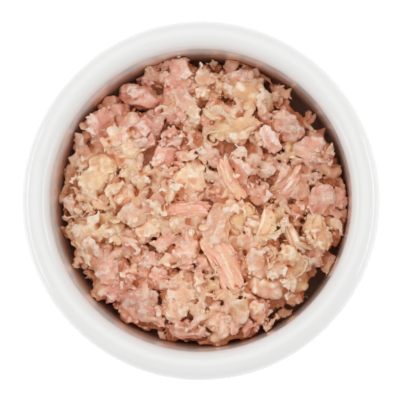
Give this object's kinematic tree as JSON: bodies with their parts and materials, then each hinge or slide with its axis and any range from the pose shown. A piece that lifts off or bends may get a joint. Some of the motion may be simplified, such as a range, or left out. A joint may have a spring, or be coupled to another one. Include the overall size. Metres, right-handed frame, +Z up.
{
  "type": "bowl of wet cat food",
  "caption": "Thick round white stoneware pet bowl filled with shredded and minced wet cat food, seen as a low uneven heap of moist meat pieces.",
  "frame": {"origin": "middle of the foot ring that the bowl stands on", "axes": "+Z up through the middle of the bowl; +Y towards the top and +X towards the right of the heap as seen from above"},
  "size_m": [0.11, 0.11, 0.044],
  "materials": {
    "white_glaze": "smooth glossy white glaze",
    "minced_meat": "moist grainy pink-beige mince with jelly",
    "pink_meat": "moist smooth pink meat",
    "pale_meat": "moist pale cream meat with faint fibres",
    "meat_jelly": "wet translucent tan jelly and fat"
  },
  "bodies": {
    "root": {"bowl": "white_glaze", "meat_heap": "minced_meat", "jelly_lump": "meat_jelly", "pink_tongue": "pink_meat", "pink_block": "pink_meat", "brown_nugget": "minced_meat", "upright_flake": "pale_meat", "curved_slab": "pink_meat", "cream_flake": "pale_meat", "west_clump": "minced_meat", "cream_slab": "pale_meat", "north_east_clump": "pink_meat", "crumb_cake": "meat_jelly", "grain_nugget": "pink_meat", "bent_flake": "meat_jelly", "east_nugget": "pink_meat", "east_chunk": "pale_meat", "sliver": "pale_meat", "pale_shard": "pale_meat", "yellow_block": "meat_jelly", "slant_strip": "pale_meat", "pale_nugget": "pale_meat", "pink_strip": "pink_meat", "centre_nugget": "pink_meat", "centre_block": "pink_meat", "fibre_strip": "pink_meat", "amber_jelly": "meat_jelly", "small_nugget": "pale_meat", "wall_flake": "pink_meat", "south_west_clump": "pink_meat", "low_block": "minced_meat", "south_clump": "pink_meat", "south_nugget": "minced_meat", "south_rim_slab": "pale_meat", "long_slab": "meat_jelly", "slab_tongue": "pale_meat", "cream_knob": "pale_meat", "yellow_nugget": "meat_jelly"}
  },
  "joints": []
}
